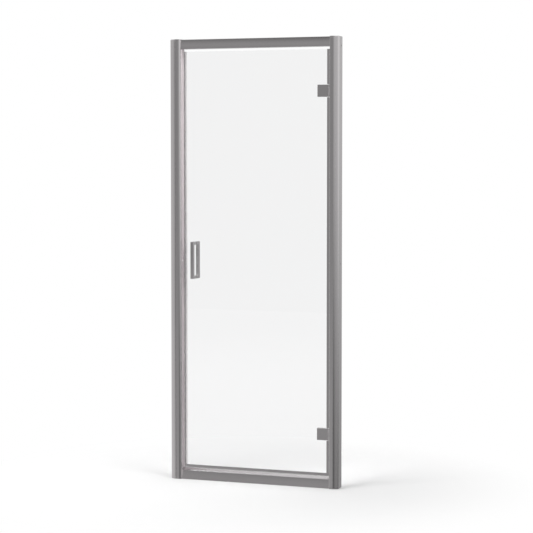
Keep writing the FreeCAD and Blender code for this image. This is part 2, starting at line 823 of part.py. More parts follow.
def handle_fittings():
    """Studs that join both handles through the glass, with their grub screws, washers and sleeves."""
    bore = stud_radius + seat_clearance
    sleeve = handle_hole_radius - seat_clearance
    washer = handle_bar / 2 - handle_edge_radius
    studs, grubs, washers, sleeves = [], [], [], []
    for z in handle_posts:
        through = across_glass(bore, handle_x, z, foot_y)
        studs.append(across_glass(stud_radius, handle_x, z, stud_reach))
        grubs.append(rod(grub_radius, grub_end(z) - X_AXIS * grub_length, grub_end(z)))
        sleeves.append(across_glass(sleeve, handle_x, z, glass_half).cut(through))
        for side in (-1, 1):
            seat = FreeCAD.Vector(handle_x, side * glass_half, z)
            washers.append(rod(washer, seat, seat + Y_AXIS * side * washer_thickness).cut(through))
    groups = {"handle_studs": studs, "handle_grub_screws": grubs, "handle_washers": washers,
              "handle_sleeves": sleeves}
    return {name: Part.makeCompound(solids) for name, solids in groups.items()}


def rail_screws(height):
    """Screws from inside both jambs into the ports of one rail."""
    right = rail_screws_from(jamb_face, height)
    left = [mirrored(screw) for screw in rail_screws_from(closing_face, height)]
    return Part.makeCompound(right + left)


def rail_screws_from(face, height):
    """Screws from inside a jamb on the right into the ports of one rail."""
    return [headed_screw(seat, direction, rail_screw_head_radius, rail_screw_head,
                         lock_screw_radius, rail_screw_length)
            for seat, direction in rail_screw_seats(face) if abs(seat.z - height) < same_place]


def jamb_lock_screws():
    """Screws on the rear that lock the right jamb in its wall channel."""
    seats = [FreeCAD.Vector(half_width - lock_screw_from_wall, frame_rear, z) for z in lock_screws]
    return Part.makeCompound([headed_screw(seat, -Y_AXIS, lock_screw_head_radius, lock_screw_head,
                                           lock_screw_radius, lock_screw_length) for seat in seats])


def frame_nodes():
    """The fixed frame."""
    right_cap = cap(jamb_face, jamb_corner_radius)
    left_cap = mirrored(cap(closing_face, closing_corner_radius))
    nodes = {
        "wall_channel_right": wall_channel(), "wall_channel_left": mirrored(wall_channel()),
        "hinge_jamb": hinge_jamb(), "closing_jamb": closing_jamb(),
        "top_rail": top_rail(), "sill_rail": sill_rail(),
        "cap_top_right": right_cap, "cap_top_left": left_cap,
        "cap_bottom_right": flipped(right_cap), "cap_bottom_left": flipped(left_cap),
        "strike_seal": strike_seal(), "strike_magnet": strike_magnet(0),
        "strike_screw": strike_screw(),
        "jamb_lock_screws_right": jamb_lock_screws(),
        "jamb_lock_screws_left": mirrored(jamb_lock_screws()),
        "top_rail_screws": rail_screws(rail_bottom + port_rail_height),
        "sill_rail_screws": rail_screws(port_sill_height)}
    for place, z in hinge_heights.items():
        nodes["hinge_bracket_" + place] = hinge_bracket(z)
        nodes["bracket_screws_" + place] = bracket_screws(z)
        nodes["backing_plate_" + place] = backing_plate(z)
        nodes["hinge_pin_" + place] = hinge_pin(z)
    return nodes


def leaf_nodes():
    """The swinging leaf."""
    nodes = {
        "glass_panel": glass_panel(), "leaf_seal": leaf_seal(), "leaf_magnet": leaf_magnet(0),
        "drip_rail": drip_rail(), "drip_seal": drip_seal(),
        "handle_front": handle(-1), "handle_rear": handle_rear()}
    nodes.update(handle_fittings())
    for place, span in edge_profile_spans().items():
        nodes["hinge_edge_profile_" + place] = hinge_edge_profile(span)
        nodes["hinge_seal_" + place] = hinge_seal(span)
    for place, z in hinge_heights.items():
        nodes["hinge_leaf_" + place] = hinge_leaf(z)
        nodes["hinge_clamp_plate_" + place] = clamp_plate(z)
        nodes["hinge_gaskets_" + place] = hinge_gaskets(z)
        nodes["hinge_clamp_screws_" + place] = clamp_screws(z)
        nodes["hinge_sleeves_" + place] = clamp_sleeves(z)
        nodes["hinge_bushes_" + place] = hinge_bushes(z)
    return nodes


os.makedirs("parts", exist_ok=True)
for node, shape in {**frame_nodes(), **leaf_nodes()}.items():
    shape.exportStep("parts/" + node + ".step")
    print(node, len(shape.Solids), round(shape.Volume), shape.isValid())
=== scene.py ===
import json
import math

import bmesh
import bpy
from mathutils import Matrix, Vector


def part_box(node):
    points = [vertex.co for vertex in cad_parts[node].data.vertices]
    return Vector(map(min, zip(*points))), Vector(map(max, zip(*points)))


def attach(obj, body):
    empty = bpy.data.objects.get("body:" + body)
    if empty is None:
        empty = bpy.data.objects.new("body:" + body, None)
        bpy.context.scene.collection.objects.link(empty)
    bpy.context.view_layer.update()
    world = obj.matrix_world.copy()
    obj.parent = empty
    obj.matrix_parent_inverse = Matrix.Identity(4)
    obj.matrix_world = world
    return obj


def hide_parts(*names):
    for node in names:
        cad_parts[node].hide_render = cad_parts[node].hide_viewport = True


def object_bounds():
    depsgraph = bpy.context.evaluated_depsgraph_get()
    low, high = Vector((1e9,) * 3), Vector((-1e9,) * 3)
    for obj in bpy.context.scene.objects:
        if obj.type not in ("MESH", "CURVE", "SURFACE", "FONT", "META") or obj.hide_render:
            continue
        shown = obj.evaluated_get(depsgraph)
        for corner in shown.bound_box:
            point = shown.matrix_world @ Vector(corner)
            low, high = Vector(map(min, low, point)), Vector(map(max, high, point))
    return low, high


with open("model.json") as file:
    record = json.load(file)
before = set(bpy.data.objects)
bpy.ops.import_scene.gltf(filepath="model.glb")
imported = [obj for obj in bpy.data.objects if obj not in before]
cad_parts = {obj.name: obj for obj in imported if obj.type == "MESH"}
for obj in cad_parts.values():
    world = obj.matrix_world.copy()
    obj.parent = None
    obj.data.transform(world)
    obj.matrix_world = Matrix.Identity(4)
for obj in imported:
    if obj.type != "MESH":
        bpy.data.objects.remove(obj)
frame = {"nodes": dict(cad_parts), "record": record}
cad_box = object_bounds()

# Hinged shower door for a niche. Metres, X towards the hinges, Y into the shower, Z up.

# Profiles
profile_wall = 0.0018
crown_fall = 0.009
crown_bow = 0.0014
channel_corner = 0.004
rear_corner = 0.001
guide_overlap = 0.0053
guide_from_front = 0.0162
rail_bow = 0.0015
rail_corner = 0.0015
sill_bow = 0.0005
sill_crest_radius = 0.001
sill_rear_height = 0.027
sill_knee_height = 0.0376
sill_crest = (-0.003, 0.0495)
sill_lean = 0.0102
slope_hollow = 0.0012
slope_end_points = 3
rail_lean = 0.006
edge_radius = 0.0004

# Nose of the closing jamb
nose_cad_radius = 0.008
nose_slow_radius = 0.02
nose_tight_radius = 0.005
nose_turn = math.radians(25)
nose_slack = 1e-5

# Wall holes
wall_hole_radius = 0.00275
wall_hole_inset = 0.04
wall_hole_y = -0.004

# Leaf
glass_arris = 0.0006
glass_arris_steps = 1
handle_corner = 0.002
handle_edge = 0.0008
handle_edge_steps = 3
clamp_hole_radius = 0.005
handle_hole_radius = 0.006
grub_bore = 0.0021

# Screws, each with a head that is domed or tapers from its seat to its face
pan_dome = 0.75
lock_screw = {"head": 0.0022, "seat_radius": 0.0038, "face_radius": 0.0038, "dome": pan_dome,
              "shank_radius": 0.0019, "drive": 0.0021}
strike_screw = {"head": 0.0012, "seat_radius": 0.0042, "face_radius": 0.0042, "dome": pan_dome,
                "shank_radius": 0.0016, "drive": 0.0021}
grub_screw = {"head": 0.0012, "seat_radius": 0.002, "face_radius": 0.0019,
              "shank_radius": 0.002, "drive": 0.0011, "hex": True}
clamp_screw = {"head": 0.0022, "seat_radius": 0.0024, "face_radius": 0.0044,
               "shank_radius": 0.0024, "drive": 0.0019, "hex": True}
bracket_screw = {"head": 0.0022, "seat_radius": 0.0024, "face_radius": 0.0044,
                 "shank_radius": 0.0024, "drive": 0.0022}
shank_fit = 0.98
shank_bury = 0.2
recess_depth = 1.1
slot_length = 2.0
slot_width = 0.5
screw_seed = 4

# Fineness of the meshes
weld = 1e-6
crisp_angle = math.radians(32)
arc_steps = 8
bow_steps = 20
head_sides = 40
dome_rings = 8
shank_sides = 24
drill_sides = 32
drill_reach = 3

# Draw lines and clouds in the finishes, and how much they change tone, dullness and level
upright_grain = (1500.0, 1500.0, 5.0)
level_grain = (5.0, 1500.0, 1500.0)
plated_grain = (1200.0, 1200.0, 20.0)
screw_grain = (900.0, 900.0, 900.0)
cap_grain = (1100.0, 1100.0, 1100.0)
seal_grain = (900.0, 900.0, 4.0)
satin_roughness = 0.17
screw_roughness = 0.3
dull_swing = 0.08
satin_clouds = 7.0
satin_swing = 0.04
line_share = 0.4
line_depth = 0.0002
satin_bump = 0.05
moulded_clouds = 11.0
moulded_dark = 0.94
moulded_light = 1.04
moulded_bump = 0.15
clear_ior = 1.5
glass_clouds = 1.5
glass_swing = 0.005
seal_clearness = 0.92
seal_roughness = 0.04
seal_dull_swing = 0.1
seal_clouds = 6.0
seal_swing = 0.03
seal_bump = 0.1

# Colours
aluminium = (0.69, 0.668, 0.675)
plated = (0.67, 0.649, 0.656)
steel = (0.72, 0.7, 0.706)
moulding = (0.69, 0.669, 0.676)
glass_tint = (0.94, 0.941, 0.943)
pvc = (0.97, 0.952, 0.956)
pearl_pvc = (0.725, 0.657, 0.68)
ferrite = (0.125, 0.12, 0.12)
rubber = (0.03, 0.03, 0.031)
polymer = (0.78, 0.77, 0.74)
white = (1.0, 1.0, 1.0)

# Camera
camera_place = (2.7445, -7.367, 1.4609)
camera_turn = 20.095
camera_tilt = -3.347
camera_lens = 121.45
camera_shift = -0.02

# Studio: strength, aim and focus of the soft patches in its walls and its ground
wall_level = 0.557
wall_patches = ((-0.375, (-0.42, -0.89, -0.17), 11.5), (-0.495, (-0.23, -0.73, 0.64), 15.8),
                (0.54, (0.95, -0.32, 0.03), 3.2), (0.38, (-0.35, -0.05, 0.93), 7.0),
                (-0.168, (0.5, -0.87, 0.0), 27.4), (0.25, (-0.34, 0.94, 0.1), 12.0))
ground_level = 0.28
ground_slant = -0.208
ground_patches = ((0.212, (-0.97, -0.02, -0.25), 3.0), (0.075, (0.13, -0.97, -0.2), 5.7),
                  (0.116, (0.24, 0.95, -0.21), 5.4), (-0.334, (0.04, -1.0, -0.09), 27.7))
horizon_low = -0.217
horizon_high = 0.058
floor_half = 8.0
floor_drop = 0.0005
floor_grey = (0.92, 0.92, 0.92)
shadow_reach = 0.35
fade_reach = 1.3

record = frame["record"]
body_of = {node: body for body, nodes in record["behaviour"]["bodies"].items() for node in nodes}
slot_of = {part["node"]: part["material_slot"] for part in record["subparts"]}


def find(sockets, key):
    """Socket with this place, identifier or name."""
    if isinstance(key, int):
        return sockets[key]
    return next(s for s in sockets if s.enabled and key in (s.identifier, s.name))


class Wire:
    """Output of a node. Arithmetic on it adds Math nodes to the same tree."""

    def __init__(self, nodes, socket):
        self.nodes = nodes
        self.socket = socket

    def math(self, operation, *values):
        """Math node on some values."""
        return self.nodes.add("ShaderNodeMath", {"operation": operation}, dict(enumerate(values)))

    def __add__(self, other):
        return self.math("ADD", self, other)

    def __radd__(self, other):
        return self.math("ADD", other, self)

    def __sub__(self, other):
        return self.math("SUBTRACT", self, other)

    def __rsub__(self, other):
        return self.math("SUBTRACT", other, self)

    def __mul__(self, other):
        return self.math("MULTIPLY", self, other)

    def __rmul__(self, other):
        return self.math("MULTIPLY", other, self)

    def __truediv__(self, other):
        return self.math("DIVIDE", self, other)

    def __rtruediv__(self, other):
        return self.math("DIVIDE", other, self)

    def __gt__(self, other):
        return self.math("GREATER_THAN", self, other)


class Nodes:
    """A node tree that is filled one node at a time."""

    def __init__(self, tree):
        self.tree = tree

    def add(self, kind, settings=None, sockets=None, output=0):
        """Adds a node, sets it up, feeds its sockets and returns one of its outputs."""
        node = self.tree.nodes.new(kind)
        for name, value in (settings or {}).items():
            setattr(node, name, value)
        for key, value in (sockets or {}).items():
            for each in value if isinstance(value, list) else [value]:
                self.feed(find(node.inputs, key), each)
        return Wire(self, find(node.outputs, output) if node.outputs else None)

    def feed(self, socket, value):
        """Links or sets one input."""
        if isinstance(value, Wire):
            self.tree.links.new(value.socket, socket)
        elif socket.type == "RGBA" and len(value) == 3:
            socket.default_value = (*value, 1)
        else:
            socket.default_value = value


def new_material(name):
    """Material with an empty node tree."""
    material = bpy.data.materials.new(name)
    material.use_nodes = True
    material.node_tree.nodes.clear()
    return material, Nodes(material.node_tree)


def principled(nodes, **sockets):
    """Principled shader on the material's output."""
    names = {key.replace("_", " ").title(): value for key, value in sockets.items()}
    names = {key.replace("Ior", "IOR"): value for key, value in names.items()}
    shader = nodes.add("ShaderNodeBsdfPrincipled", None, names)
    nodes.add("ShaderNodeOutputMaterial", None, {"Surface": shader})


def object_place(nodes):
    """Place on the piece, in metres."""
    return nodes.add("ShaderNodeTexCoord", output="Object")


def noise(nodes, place, scale, detail=3.0):
    """Even random pattern from nought to one."""
    return nodes.add("ShaderNodeTexNoise", None, {"Vector": place, "Scale": scale, "Detail": detail})


def mixed(nodes, factor, first, second):
    """Colour between two others."""
    return nodes.add("ShaderNodeMix", {"data_type": "RGBA"},
                     {"Factor_Float": factor, "A_Color": first, "B_Color": second}, "Result_Color")


def shaded(colour, share):
    """Darker or lighter shade of a colour."""
    return tuple(channel * share for channel in colour)


def satin_metal(name, colour, grain, roughness):
    """Satin metal with fine draw lines along one axis."""
    material, nodes = new_material(name)
    place = object_place(nodes)
    drawn = nodes.add("ShaderNodeMapping", None, {"Vector": place, "Scale": grain})
    lines = noise(nodes, drawn, 1.0, detail=5.0)
    clouds = noise(nodes, place, satin_clouds)
    tone = mixed(nodes, clouds * (1 - line_share) + lines * line_share,
                 shaded(colour, 1 - satin_swing), shaded(colour, 1 + satin_swing))
    bump = nodes.add("ShaderNodeBump", None,
                     {"Strength": satin_bump, "Distance": line_depth, "Height": lines})
    dull = roughness - dull_swing / 2 + dull_swing * lines
    principled(nodes, base_color=tone, metallic=1.0, roughness=dull, normal=bump)
    return material


def moulded(name, colour, metal, roughness, grain, depth):
    """Moulded or extruded polymer, plain or pearly, with a fine even grain."""
    material, nodes = new_material(name)
    place = object_place(nodes)
    grit = noise(nodes, place, grain, detail=2.0)
    clouds = noise(nodes, place, moulded_clouds)
    tone = mixed(nodes, clouds, shaded(colour, moulded_dark), shaded(colour, moulded_light))
    bump = nodes.add("ShaderNodeBump", None, {"Strength": moulded_bump, "Distance": depth, "Height": grit})
    principled(nodes, base_color=tone, metallic=metal, roughness=roughness + dull_swing * grit, normal=bump)
    return material


def clear_glass():
    """Clear toughened glass with a faint grey tint."""
    material, nodes = new_material("clear_glass")
    clouds = noise(nodes, object_place(nodes), glass_clouds)
    tone = mixed(nodes, clouds, shaded(glass_tint, 1 - glass_swing), shaded(glass_tint, 1 + glass_swing))
    principled(nodes, base_color=tone, transmission_weight=1.0, roughness=0.0, ior=clear_ior)
    return material


def clear_pvc():
    """Clear extruded seal with faint draw lines."""
    material, nodes = new_material("clear_pvc")
    place = object_place(nodes)
    drawn = nodes.add("ShaderNodeMapping", None, {"Vector": place, "Scale": seal_grain})
    lines = noise(nodes, drawn, 1.0)
    clouds = noise(nodes, place, seal_clouds)
    tone = mixed(nodes, clouds, shaded(pvc, 1 - seal_swing), shaded(pvc, 1 + seal_swing))
    bump = nodes.add("ShaderNodeBump", None,
                     {"Strength": seal_bump, "Distance": line_depth, "Height": lines})
    principled(nodes, base_color=tone, transmission_weight=seal_clearness,
               roughness=seal_roughness + seal_dull_swing * lines, ior=clear_ior, normal=bump)
    return material


finishes = {
    "upright": satin_metal("satin_upright", aluminium, upright_grain, satin_roughness),
    "level": satin_metal("satin_level", aluminium, level_grain, satin_roughness),
    "hardware_metal": satin_metal("satin_plated", plated, plated_grain, satin_roughness),
    "screw_steel": satin_metal("screw_steel", steel, screw_grain, screw_roughness),
    "cap_plastic": satin_metal("metallised_cap", moulding, cap_grain, satin_roughness),
    "magnet": moulded("ferrite_strip", ferrite, metal=0.0, roughness=0.6, grain=1800.0, depth=0.0002),
    "gasket": moulded("black_rubber", rubber, metal=0.0, roughness=0.55, grain=1500.0, depth=0.0002),
    "bush_polymer": moulded("white_polymer", polymer, metal=0.0, roughness=0.42, grain=2000.0, depth=0.0001),
    "clear_glass": clear_glass(),
    "clear_seal": clear_pvc(),
    "pearl_seal": moulded("pearl_pvc", pearl_pvc, metal=0.5, roughness=0.18, grain=1800.0, depth=0.0001),
}
level_nodes = ("top_rail", "sill_rail", "drip_rail")
pearl_nodes = ("strike_seal", "drip_seal")


def finish_of(node):
    """Material of a CAD node."""
    if slot_of[node] == "frame_metal":
        return finishes["level" if node in level_nodes else "upright"]
    if node in pearl_nodes:
        return finishes["pearl_seal"]
    return finishes[slot_of[node]]


def stands_for(piece, node):
    """Puts a piece in the place of a CAD node."""
    if not piece.data.materials:
        piece.data.materials.append(finish_of(node))
    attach(piece, body_of[node])
    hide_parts(node)
    return piece


def arc(centre, radius, start, end, steps):
    """Points on a circle between two angles."""
    angles = [start + (end - start) * i / steps for i in range(steps + 1)]
    return [(centre[0] + radius * math.cos(a), centre[1] + radius * math.sin(a)) for a in angles]


def rounded(corners):
    """Closed outline through corners of (u, v) or, to be rounded, (u, v, radius)."""
    outline = []
    for before, corner, after in zip(corners[-1:] + corners[:-1], corners, corners[1:] + corners[:1]):
        here = Vector(corner[:2])
        if len(corner) == 2:
            outline.append(tuple(here))
            continue
        back = (Vector(before[:2]) - here).normalized()
        ahead = (Vector(after[:2]) - here).normalized()
        half = back.angle(ahead) / 2
        centre = here + (back + ahead).normalized() * corner[2] / math.sin(half)
        first = here + back * corner[2] / math.tan(half) - centre
        last = here + ahead * corner[2] / math.tan(half) - centre
        start = math.atan2(first.y, first.x)
        turn = math.remainder(math.atan2(last.y, last.x) - start, math.tau)
        outline += arc(centre, corner[2], start, start + turn, arc_steps)
    return outline


def bowed(start, end, bow):
    """Points between two corners on an arc that bows to the right of the way from one to the other."""
    chord = Vector(end) - Vector(start)
    radius = (chord.length_squared / 4 + bow ** 2) / (2 * bow)
    left = Vector((-chord.y, chord.x)).normalized()
    centre = (Vector(start) + Vector(end)) / 2 + left * (radius - bow)
    first = Vector(start) - centre
    half = math.asin(chord.length / 2 / radius)
    angle = math.atan2(first.y, first.x)
    return arc(centre, abs(radius), angle, angle + 2 * half, bow_steps)[1:-1]


def in_plan(u, v, along=0.0):
    """Place of an outline's point that is drawn from above."""
    return (u, v, along)


def in_side_view(u, v, along=0.0):
    """Place of an outline's point that is drawn from the side."""
    return (along, u, v)


def in_front_view(u, v, along=0.0):
    """Place of an outline's point that is drawn from the front."""
    return (u, along, v)


def new_tree(name, inputs):
    """Geometry node tree with named inputs, and its group input."""
    tree = bpy.data.node_groups.new(name, "GeometryNodeTree")
    tree.interface.new_socket("Geometry", in_out="INPUT", socket_type="NodeSocketGeometry")
    for label, kind in inputs.items():
        tree.interface.new_socket(label, in_out="INPUT", socket_type="NodeSocket" + kind)
    tree.interface.new_socket("Geometry", in_out="OUTPUT", socket_type="NodeSocketGeometry")
    nodes = Nodes(tree)
    group = tree.nodes.new("NodeGroupInput")
    return nodes, {socket.name: Wire(nodes, socket) for socket in group.outputs if socket.name}


def end_tree(nodes, geometry, finish):
    """Smooth faces with crisp edges, the finish, and the tree's output."""
    whole = nodes.add("GeometryNodeRealizeInstances", None, {"Geometry": geometry})
    soft = nodes.add("GeometryNodeSetShadeSmooth", {"domain": "FACE"},
                     {"Geometry": whole, "Shade Smooth": True})
    bend = nodes.add("GeometryNodeInputMeshEdgeAngle", output="Unsigned Angle")
    crisp = nodes.add("GeometryNodeSetShadeSmooth", {"domain": "EDGE"},
                      {"Geometry": soft, "Selection": bend > crisp_angle, "Shade Smooth": False})
    done = nodes.add("GeometryNodeSetMaterial", None, {"Geometry": crisp, "Material": finish})
    nodes.add("NodeGroupOutput", None, {0: done})
    return nodes.tree


def extrusion_tree():
    """Extrudes an outline along its run and drills a hole at each loose point."""
    nodes, inputs = new_tree("extrusion", {"Run": "Vector", "Drill": "Vector", "Drill Depth": "Float",
                                           "Finish": "Material"})
    faces = nodes.add("GeometryNodeInputMeshVertexNeighbors", output="Face Count")
    parts = nodes.add("GeometryNodeSeparateGeometry", {"domain": "POINT"},
                      {"Geometry": inputs["Geometry"], "Selection": faces > 0.5})
    marks = Wire(nodes, parts.socket.node.outputs["Inverted"])
    grown = nodes.add("GeometryNodeExtrudeMesh", {"mode": "FACES"},
                      {"Mesh": parts, "Offset": inputs["Run"], "Individual": False})
    start = nodes.add("GeometryNodeFlipFaces", None, {"Mesh": parts})
    shell = nodes.add("GeometryNodeJoinGeometry", None, {"Geometry": [grown, start]})
    solid = nodes.add("GeometryNodeMergeByDistance", None, {"Geometry": shell, "Distance": weld})
    bit = nodes.add("GeometryNodeMeshCylinder", None,
                    {"Vertices": drill_sides, "Radius": 1.0, "Depth": inputs["Drill Depth"]}, "Mesh")
    aim = nodes.add("FunctionNodeAlignRotationToVector", {"axis": "Z"}, {"Vector": inputs["Drill"]})
    width = nodes.add("GeometryNodeInputNamedAttribute", {"data_type": "FLOAT"}, {"Name": "bore"})
    scale = nodes.add("ShaderNodeCombineXYZ", None, {"X": width, "Y": width, "Z": 1.0})
    points = nodes.add("GeometryNodeMeshToPoints", None, {"Mesh": marks})
    bits = nodes.add("GeometryNodeInstanceOnPoints", None,
                     {"Points": points, "Instance": bit, "Rotation": aim, "Scale": scale})
    cutter = nodes.add("GeometryNodeRealizeInstances", None, {"Geometry": bits})
    drilled = nodes.add("GeometryNodeMeshBoolean", {"operation": "DIFFERENCE", "solver": "EXACT"},
                        {"Mesh 1": solid, "Mesh 2": cutter}, "Mesh")
    count = nodes.add("GeometryNodeAttributeDomainSize", {"component": "POINTCLOUD"}, {"Geometry": points})
    either = nodes.add("GeometryNodeSwitch", {"input_type": "GEOMETRY"},
                       {"Switch": count > 0.5, "False": solid, "True": drilled})
    return end_tree(nodes, either, inputs["Finish"])


def screw_tree():
    """Sets a screw with a driven head on each point."""
    nodes, inputs = new_tree("screws", {"Facing": "Vector", "Seat Radius": "Float", "Face Radius": "Float",
                                        "Head": "Float", "Dome": "Float", "Shank Radius": "Float",
                                        "Shank": "Float", "Drive": "Float", "Hex": "Bool",
                                        "Finish": "Material"})
    head = nodes.add("GeometryNodeMeshCone", None,
                     {"Vertices": head_sides, "Side Segments": dome_rings,
                      "Radius Top": inputs["Face Radius"], "Radius Bottom": inputs["Seat Radius"],
                      "Depth": inputs["Head"]}, "Mesh")
    place = nodes.add("GeometryNodeInputPosition")
    height = nodes.add("ShaderNodeSeparateXYZ", None, {"Vector": place}, "Z") / inputs["Head"]
    spread = height.math("SQRT", 1.0 - inputs["Dome"] * height * height)
    spread = nodes.add("ShaderNodeCombineXYZ", None, {"X": spread, "Y": spread, "Z": 1.0})
    domed = nodes.add("ShaderNodeVectorMath", {"operation": "MULTIPLY"}, {0: place, 1: spread})
    head = nodes.add("GeometryNodeSetPosition", None, {"Geometry": head, "Position": domed})
    bury = inputs["Head"] * shank_bury
    shank = nodes.add("GeometryNodeMeshCylinder", None,
                      {"Vertices": shank_sides, "Radius": inputs["Shank Radius"] * shank_fit,
                       "Depth": inputs["Shank"] + bury}, "Mesh")
    down = nodes.add("ShaderNodeCombineXYZ", None, {"Z": (bury - inputs["Shank"]) / 2})
    shank = nodes.add("GeometryNodeTransform", None, {"Geometry": shank, "Translation": down})
    blank = nodes.add("GeometryNodeMeshBoolean", {"operation": "UNION", "solver": "EXACT"},
                      {"Mesh 2": [head, shank]}, "Mesh")
    depth = inputs["Head"] * recess_depth
    slots = []
    for long_side, short_side in (("X", "Y"), ("Y", "X")):
        size = nodes.add("ShaderNodeCombineXYZ", None,
                         {long_side: inputs["Drive"] * slot_length, short_side: inputs["Drive"] * slot_width,
                          "Z": depth})
        slots.append(nodes.add("GeometryNodeMeshCube", None, {"Size": size}, "Mesh"))
    cross = nodes.add("GeometryNodeMeshBoolean", {"operation": "UNION", "solver": "EXACT"},
                      {"Mesh 2": slots}, "Mesh")
    hexagon = nodes.add("GeometryNodeMeshCylinder", None,
                        {"Vertices": 6, "Radius": inputs["Drive"], "Depth": depth}, "Mesh")
    drive = nodes.add("GeometryNodeSwitch", {"input_type": "GEOMETRY"},
                      {"Switch": inputs["Hex"], "False": cross, "True": hexagon})
    up = nodes.add("ShaderNodeCombineXYZ", None, {"Z": inputs["Head"]})
    drive = nodes.add("GeometryNodeTransform", None, {"Geometry": drive, "Translation": up})
    screw = nodes.add("GeometryNodeMeshBoolean", {"operation": "DIFFERENCE", "solver": "EXACT"},
                      {"Mesh 1": blank, "Mesh 2": drive}, "Mesh")
    aim = nodes.add("FunctionNodeAlignRotationToVector", {"axis": "Z"}, {"Vector": inputs["Facing"]})
    chance = nodes.add("FunctionNodeRandomValue", {"data_type": "FLOAT"},
                       {"Min_001": 0.0, "Max_001": math.pi / 2, "Seed": screw_seed}, "Value_001")
    twist = nodes.add("FunctionNodeAxisAngleToRotation", None, {"Axis": (0, 0, 1), "Angle": chance})
    turned = nodes.add("FunctionNodeRotateRotation", {"rotation_space": "LOCAL"},
                       {"Rotation": aim, "Rotate By": twist})
    points = nodes.add("GeometryNodeMeshToPoints", None, {"Mesh": inputs["Geometry"]})
    placed = nodes.add("GeometryNodeInstanceOnPoints", None,
                       {"Points": points, "Instance": screw, "Rotation": turned})
    return end_tree(nodes, placed, inputs["Finish"])


def grown(name, mesh, tree, **values):
    """Plain mesh object out of a geometry node tree and its named inputs."""
    piece = bpy.data.objects.new(name, mesh)
    bpy.context.scene.collection.objects.link(piece)
    modifier = piece.modifiers.new("shape", "NODES")
    modifier.node_group = tree
    names = {key.replace("_", " ").title(): value for key, value in values.items()}
    for item in tree.interface.items_tree:
        if item.in_out == "INPUT" and item.name in names:
            modifier[item.identifier] = names[item.name]
    depsgraph = bpy.context.evaluated_depsgraph_get()
    shape = bpy.data.meshes.new_from_object(piece.evaluated_get(depsgraph))
    piece.modifiers.clear()
    piece.data = shape
    bpy.data.meshes.remove(mesh)
    shape.name = name
    return piece


extrusion = extrusion_tree()
screws = screw_tree()


def profile(name, node, outline, view, start, run, bores=(), drill=(0, 0, 1), drill_depth=0.0):
    """Extruded profile with its holes, in the place of a CAD node."""
    mesh = bpy.data.meshes.new(name)
    corners = [view(u, v, start) for u, v in outline]
    marks = [place for place, radius in bores]
    mesh.from_pydata(corners + marks, [], [list(range(len(corners)))])
    widths = mesh.attributes.new("bore", "FLOAT", "POINT")
    widths.data.foreach_set("value", [0.0] * len(corners) + [radius for place, radius in bores])
    piece = grown(name, mesh, extrusion, run=view(0, 0, run), drill=drill, drill_depth=drill_depth,
                  finish=finish_of(node))
    return stands_for(piece, node)


def smoothed(node, name):
    """Welded copy of a CAD node with smooth curves and crisp edges."""
    mesh = frame["nodes"][node].data.copy()
    mesh.materials.clear()
    shape = bmesh.new()
    shape.from_mesh(mesh)
    bmesh.ops.remove_doubles(shape, verts=shape.verts, dist=weld)
    soften(shape)
    shape.to_mesh(mesh)
    shape.free()
    piece = bpy.data.objects.new(name, mesh)
    bpy.context.scene.collection.objects.link(piece)
    return stands_for(piece, node)


def soften(shape):
    """Smooth faces, sharp where they meet at more than the crisp angle."""
    for face in shape.faces:
        face.smooth = True
    for edge in shape.edges:
        edge.smooth = edge.calc_face_angle(math.pi) < crisp_angle


def solids(node):
    """Lowest and highest corner of each separate solid of a CAD node."""
    shape = bmesh.new()
    shape.from_mesh(frame["nodes"][node].data)
    bmesh.ops.remove_doubles(shape, verts=shape.verts, dist=weld)
    left = set(shape.verts)
    boxes = []
    while left:
        found = [left.pop()]
        for vert in found:
            near = {edge.other_vert(vert) for edge in vert.link_edges} & left
            left -= near
            found += near
        boxes.append([Vector(pick(vert.co[i] for vert in found) for i in range(3)) for pick in (min, max)])
    shape.free()
    return sorted(boxes, key=lambda box: [round(value, 5) for value in box[0]])


def channel_front(inset):
    """Plan points of the right wall channel's round front, from its lip to its outer side."""
    low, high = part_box("wall_channel_right")
    lip = Vector((low.x, low.y))
    chord = Vector((high.x, low.y + crown_fall)) - lip
    radius = (chord.length_squared / 4 + crown_bow ** 2) / (2 * crown_bow)
    centre = lip + chord / 2 + Vector((-chord.y, chord.x)).normalized() * (radius - crown_bow)
    corner = channel_corner - inset
    reach = high.x - inset - corner
    corner_y = centre.y - math.sqrt((radius - inset - corner) ** 2 - (reach - centre.x) ** 2)
    start = -math.acos((low.x - centre.x) / (radius - inset))
    turn = math.atan2(corner_y - centre.y, reach - centre.x)
    return (arc(centre, radius - inset, start, turn, bow_steps)
            + arc((reach, corner_y), corner, turn, 0.0, arc_steps)[1:])


def sided(outline, side):
    """The outline on the right post, or its mirror image on the left one."""
    if side > 0:
        return outline
    return [(-u, v) for u, v in reversed(outline)]


def wall_channel(name, node, side):
    """Wall channel with its round front, its guide for the jamb and its wall holes."""
    low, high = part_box("wall_channel_right")
    wall_x = high.x - profile_wall
    guide_x = low.x + guide_overlap
    guide_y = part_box("hinge_jamb")[0].y + guide_from_front
    back = rounded([(high.x, 0.0), (high.x, high.y, rear_corner), (low.x, high.y, edge_radius),
                    (low.x, high.y - profile_wall, edge_radius), (wall_x, high.y - profile_wall),
                    (wall_x, guide_y), (guide_x, guide_y), (guide_x, guide_y - profile_wall),
                    (wall_x, guide_y - profile_wall)])
    outline = channel_front(0.0) + back[1:] + channel_front(profile_wall)[::-1]
    heights = (wall_hole_inset, cad_box[1].z / 2, cad_box[1].z - wall_hole_inset)
    bores = [((side * high.x, wall_hole_y, z), wall_hole_radius) for z in heights]
    return profile(name, node, sided(outline, side), in_plan, low.z, high.z - low.z, bores, (1, 0, 0),
                   drill_reach * profile_wall)


